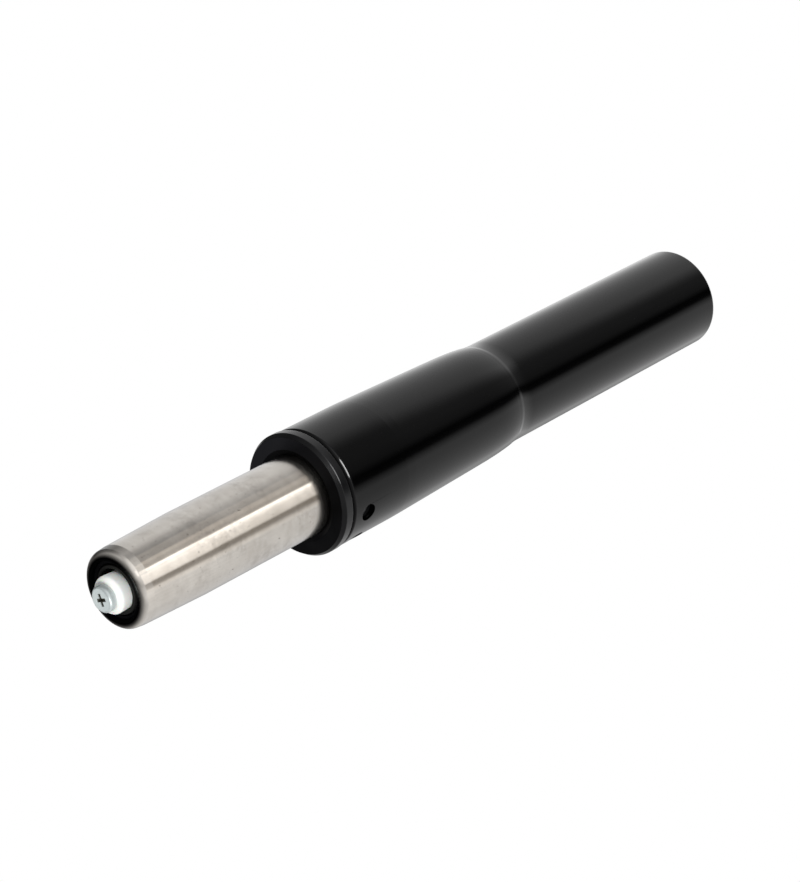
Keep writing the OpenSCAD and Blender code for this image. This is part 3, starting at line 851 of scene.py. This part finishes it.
def smooth_group():
    """A modifier group that shades a solid smooth, apart from its edges."""
    group = bpy.data.node_groups.new("shade_smooth", "GeometryNodeTree")
    group.interface.new_socket("Geometry", in_out="INPUT", socket_type="NodeSocketGeometry")
    group.interface.new_socket("Geometry", in_out="OUTPUT", socket_type="NodeSocketGeometry")
    add = group.nodes.new
    start, end = add("NodeGroupInput"), add("NodeGroupOutput")
    weld = add("GeometryNodeMergeByDistance")
    weld.inputs["Distance"].default_value = 1e-6
    angle = add("GeometryNodeInputMeshEdgeAngle")
    flat = add("FunctionNodeCompare")
    flat.operation = "LESS_THAN"
    flat.inputs[1].default_value = math.radians(SOLID_SHARP)
    faces = add("GeometryNodeSetShadeSmooth")
    edges = add("GeometryNodeSetShadeSmooth")
    edges.domain = "EDGE"
    link = group.links.new
    link(start.outputs[0], weld.inputs[0])
    link(weld.outputs[0], faces.inputs[0])
    link(faces.outputs[0], edges.inputs[0])
    link(angle.outputs["Unsigned Angle"], flat.inputs[0])
    link(flat.outputs[0], edges.inputs["Shade Smooth"])
    link(edges.outputs[0], end.inputs[0])
    return group


def dress_nodes():
    """Gives each CAD node its slot's material and smooth shading."""
    slots = {row["node"]: row["material_slot"] for row in frame["record"]["subparts"]}
    group = smooth_group()
    for name, node in frame["nodes"].items():
        node.data.materials.clear()
        node.data.materials.append(MATERIALS[slots[name]])
        node.modifiers.new("shade_smooth", "NODES").node_group = group


dress_nodes()


def make_camera():
    """A camera that sees the lift as the photograph does."""
    lens = bpy.data.cameras.new("camera")
    lens.sensor_width = SENSOR
    lens.lens = FOCAL_PIXELS * SENSOR / FRAME_PIXELS
    camera = bpy.data.objects.new("camera", lens)
    place = Vector(CAMERA_AT) * MM
    ahead = (Vector(AIM_AT) * MM - place).normalized()
    level = ahead.cross(Vector((0, 0, 1))).normalized()
    right = Matrix.Rotation(math.radians(-CAMERA_ROLL), 3, ahead) @ level
    turn = Matrix((right, ahead.cross(right) * -1, -ahead)).transposed()
    camera.matrix_world = Matrix.Translation(place) @ turn.to_4x4()
    bpy.context.scene.collection.objects.link(camera)
    bpy.context.scene.camera = camera


def make_world():
    """A light tent round the lift, with a soft dark window towards the camera and a dark far roof."""
    world = bpy.data.worlds.new("tent")
    bpy.context.scene.world = world
    nodes = Nodes(world)
    way = nodes.add("ShaderNodeTexCoord").outputs["Generated"]
    parts = nodes.add("ShaderNodeSeparateXYZ", {0: way})
    height = parts.outputs["Z"]
    drop = nodes.times(height, -1.0)
    forward = nodes.times(parts.outputs["Y"], -1.0)
    share = nodes.mapped(nodes.math("ARCTAN2", parts.outputs["X"], forward), -math.pi, math.pi)

    def around(stops, turn=share):
        """A strength by the angle round the lift in degrees, 0 towards the camera and 90 towards +X."""
        return nodes.ramp(turn, [(angle / 360 + 0.5, grey(strength)) for angle, strength in stops.items()])

    def by_sine(sine, stops):
        """A strength by an angle in degrees, from the angle's sine."""
        return nodes.ramp(sine, [(math.sin(math.radians(angle)), grey(strength))
                                 for angle, strength in stops.items()])

    def rise(low, high):
        """Goes from 0 to 1 between two heights above the horizon, in degrees."""
        return nodes.mapped(height, math.sin(math.radians(low)), math.sin(math.radians(high)), smooth=True)

    def less(value):
        return nodes.math("SUBTRACT", 1.0, value)

    tent = around({
        -180: 0.40, -170: 0.36, -150: 0.46, -140: 0.54, -130: 0.47, -100: 0.39, -60: 0.31,
        60: 0.35, 100: 0.41, 120: 0.48, 140: 0.63, 150: 0.69, 160: 0.66, 170: 0.54, 180: 0.46,
    })
    depth = by_sine(drop, {41: 0.82, 48.6: 1.08, 58.2: 1.6, 71.8: 2.0, 77.2: 0.6, 90: 0.2})

    # The window's two sides, of which the right one leans over, by a share of a turn
    left = around({-49.7: 1.0, -40: 0.5, -33: 0.03, -21.6: 0.0, -9: 0.18, 10.8: 0.25})
    lean = by_sine(drop, {
        35.8: 0.135, 37: 0.108, 39: 0.071, 41: 0.077, 43.6: 0.063, 45.4: 0.045, 47.7: 0.014,
    })
    right = around({10.8: 0.0, 19.8: 0.15, 30.6: 0.47, 41.4: 0.75}, nodes.math("SUBTRACT", share, lean))
    window = less(nodes.math("ADD", left, right))
    front = less(nodes.times(window, rise(-75, -66), less(rise(-28, -20))))

    # Towards the photograph's camera, the chrome mirrors what is higher than what the lower tube mirrors
    on_chrome = nodes.mapped(height, -math.sin(math.radians(40.9)), -math.sin(math.radians(39.8)))
    on_lower = less(rise(-45.6, -42))
    bright = nodes.times(on_chrome, around({58: 0.27, 70: 0.33, 80: 0.45, 90: 0.38, 144: 0.0}))
    lower_edge = nodes.times(on_lower, around({
        -180: 0.45, -172: 0.55, -164: 0.48, -140: 0.0, 169: 0.0, 180: 0.45,
    }))
    chrome_edge = nodes.times(on_chrome, around({
        -180: 0.3, -172: 0.28, -164: 0.2, -156: 0.15, -140: 0.17, -120: 0.12, -60: 0.0, 160: 0.0, 180: 0.3,
    }))
    shaped = nodes.times(nodes.math("ADD", 1.0, bright), less(nodes.math("ADD", lower_edge, chrome_edge)))

    # A glow over the window, and a dark ledge over the tent's right side, which the rolled rim mirrors
    glow = nodes.times(rise(-30, -20), around({
        -72: 0.0, -50.4: 0.15, -32.4: 0.10, -21.6: 0.0, -7.2: 0.10, 7.2: 0.26, 30.6: 0.24, 64.8: 0.0,
    }))
    ledge = nodes.times(around({55: 0.0, 85: 0.65, 110: 0.8, 150: 0.9, 160: 0.4, 172: 0.0}),
                        rise(-33, -28), less(rise(5, 38)))
    lit = nodes.times(nodes.math("ADD", nodes.times(tent, depth, shaped, front), glow), less(ledge))

    # The roof darkens with the tilt of a surface that would mirror it to the photograph's camera
    halfway = nodes.add("ShaderNodeVectorMath", {0: way, 1: CAMERA_WAY}, operation="ADD").outputs[0]
    mirror = nodes.add("ShaderNodeVectorMath", {0: halfway}, operation="NORMALIZE").outputs[0]
    tilt = nodes.add("ShaderNodeSeparateXYZ", {0: mirror}).outputs["Z"]
    roof = by_sine(tilt, {0: 1.0, 18: 0.94, 26: 0.87, 34: 0.78, 42: 0.62, 66: 0.14, 74: 0.075, 90: 0.035})

    seen = nodes.add("ShaderNodeLightPath").outputs["Is Camera Ray"]
    colour = nodes.mix(seen, nodes.times(lit, roof), grey(1.0))
    strength = nodes.mapped(seen, 0.0, 1.0, TENT_GAIN, 1.0)
    shown = nodes.add("ShaderNodeBackground", {"Color": colour, "Strength": strength})
    nodes.add("ShaderNodeOutputWorld", {"Surface": shown.outputs[0]})


def make_floor():
    """A white floor that only the camera sees, as bright as the photograph's ground."""
    bm = bmesh.new()
    bmesh.ops.create_circle(bm, cap_ends=True, segments=96, radius=FLOOR_R * MM)
    mesh = bpy.data.meshes.new("floor")
    bm.to_mesh(mesh)
    bm.free()
    floor = bpy.data.objects.new("floor", mesh)
    floor.location.z = -FLOOR_GAP * MM
    bpy.context.scene.collection.objects.link(floor)
    material = bpy.data.materials.new("floor_white")
    nodes = Nodes(material)
    glow = nodes.add("ShaderNodeEmission", {"Color": (1, 1, 1, 1), "Strength": 1.0})
    nodes.add("ShaderNodeOutputMaterial", {"Surface": glow.outputs[0]})
    mesh.materials.append(material)
    floor.visible_diffuse = False
    floor.visible_glossy = False
    floor.visible_transmission = False
    floor.visible_shadow = False


def panel(name, way, distance, size, radiance, receivers, colour=WHITE):
    """A soft light on some pieces, from an angle round the lift and a height in degrees, sized in metres."""
    width, height = size
    light = bpy.data.lights.new(name, "AREA")
    light.shape = "RECTANGLE"
    light.size = width
    light.size_y = height
    light.color = colour
    light.energy = radiance * width * height * math.pi
    lamp = bpy.data.objects.new(name, light)
    turn, rise = [math.radians(angle) for angle in way]
    out = Vector((math.sin(turn) * math.cos(rise), -math.cos(turn) * math.cos(rise), math.sin(rise)))
    lamp.location = Vector((0, 0, LIT_HEIGHT * MM)) + out * distance
    lamp.rotation_mode = "QUATERNION"
    lamp.rotation_quaternion = out.to_track_quat("Z", "Y")
    lamp.visible_camera = False
    bpy.context.scene.collection.objects.link(lamp)
    group = bpy.data.collections.new(name + "_lit")
    for piece in receivers:
        group.objects.link(piece)
    lamp.light_linking.receiver_collection = group


def light_chrome():
    """The streak along the chrome, in strips that fade to one side, and what lies beside it."""
    for strip in range(10):
        glow = 0.35 + 0.78 * math.exp(-(strip / 2.6) ** 2)
        panel(f"streak_{strip}", (11.75 - 3.5 * strip, -37), 1.5, (0.092, 0.7), glow, [spring], WARM)
    for strip in range(6):
        glow = 0.27 * 0.80 ** strip
        panel(f"side_{strip}", (-43 - 10 * strip, -28), 1.5, (0.262, 0.5), glow, [spring], WARM)
    panel("streak_top", (-10, -27), 1.5, (0.6, 0.42), 0.62, [spring], WARM)
    panel("rim_streak", (12, 10), 1.5, (0.4, 0.9), 0.4, [spring], WARM)
    panel("streak_fill", (-6, -37), 1.5, (1.9, 0.7), 0.25, [spring], AMBER)
    panel("left_fill", (40, -37), 1.5, (0.66, 0.7), 0.11, [spring], AMBER)


def light_black():
    """Light lines on the edges of the stand and the flange."""
    panel("edge_light", (3, -4), 1.2, (0.65, 0.9), 20, [edge])
    panel("side_gloss", (3, -4), 1.2, (0.65, 0.9), 1.2, [stand])
    panel("bevel_light", (3, -4), 1.2, (0.7, 0.9), 9, [bush, flange])
    panel("face_light", (186, 66), 0.8, (0.2, 0.2), 45, [bush, flange])


def light_tip():
    """Light on the button, its screw and the plug round it."""
    panel("tip_light", (-55, 52), 0.8, (0.35, 0.35), 13, [button, screw, cap])
    panel("tip_fill", (65, 14), 0.8, (0.8, 0.8), 1.6, [button, cap])
    panel("screw_light", (175, 36), 0.8, (0.5, 0.5), 1.0, [screw])


make_camera()
make_world()
make_floor()
light_chrome()
light_black()
light_tip()

bpy.context.scene.view_settings.view_transform = "Standard"
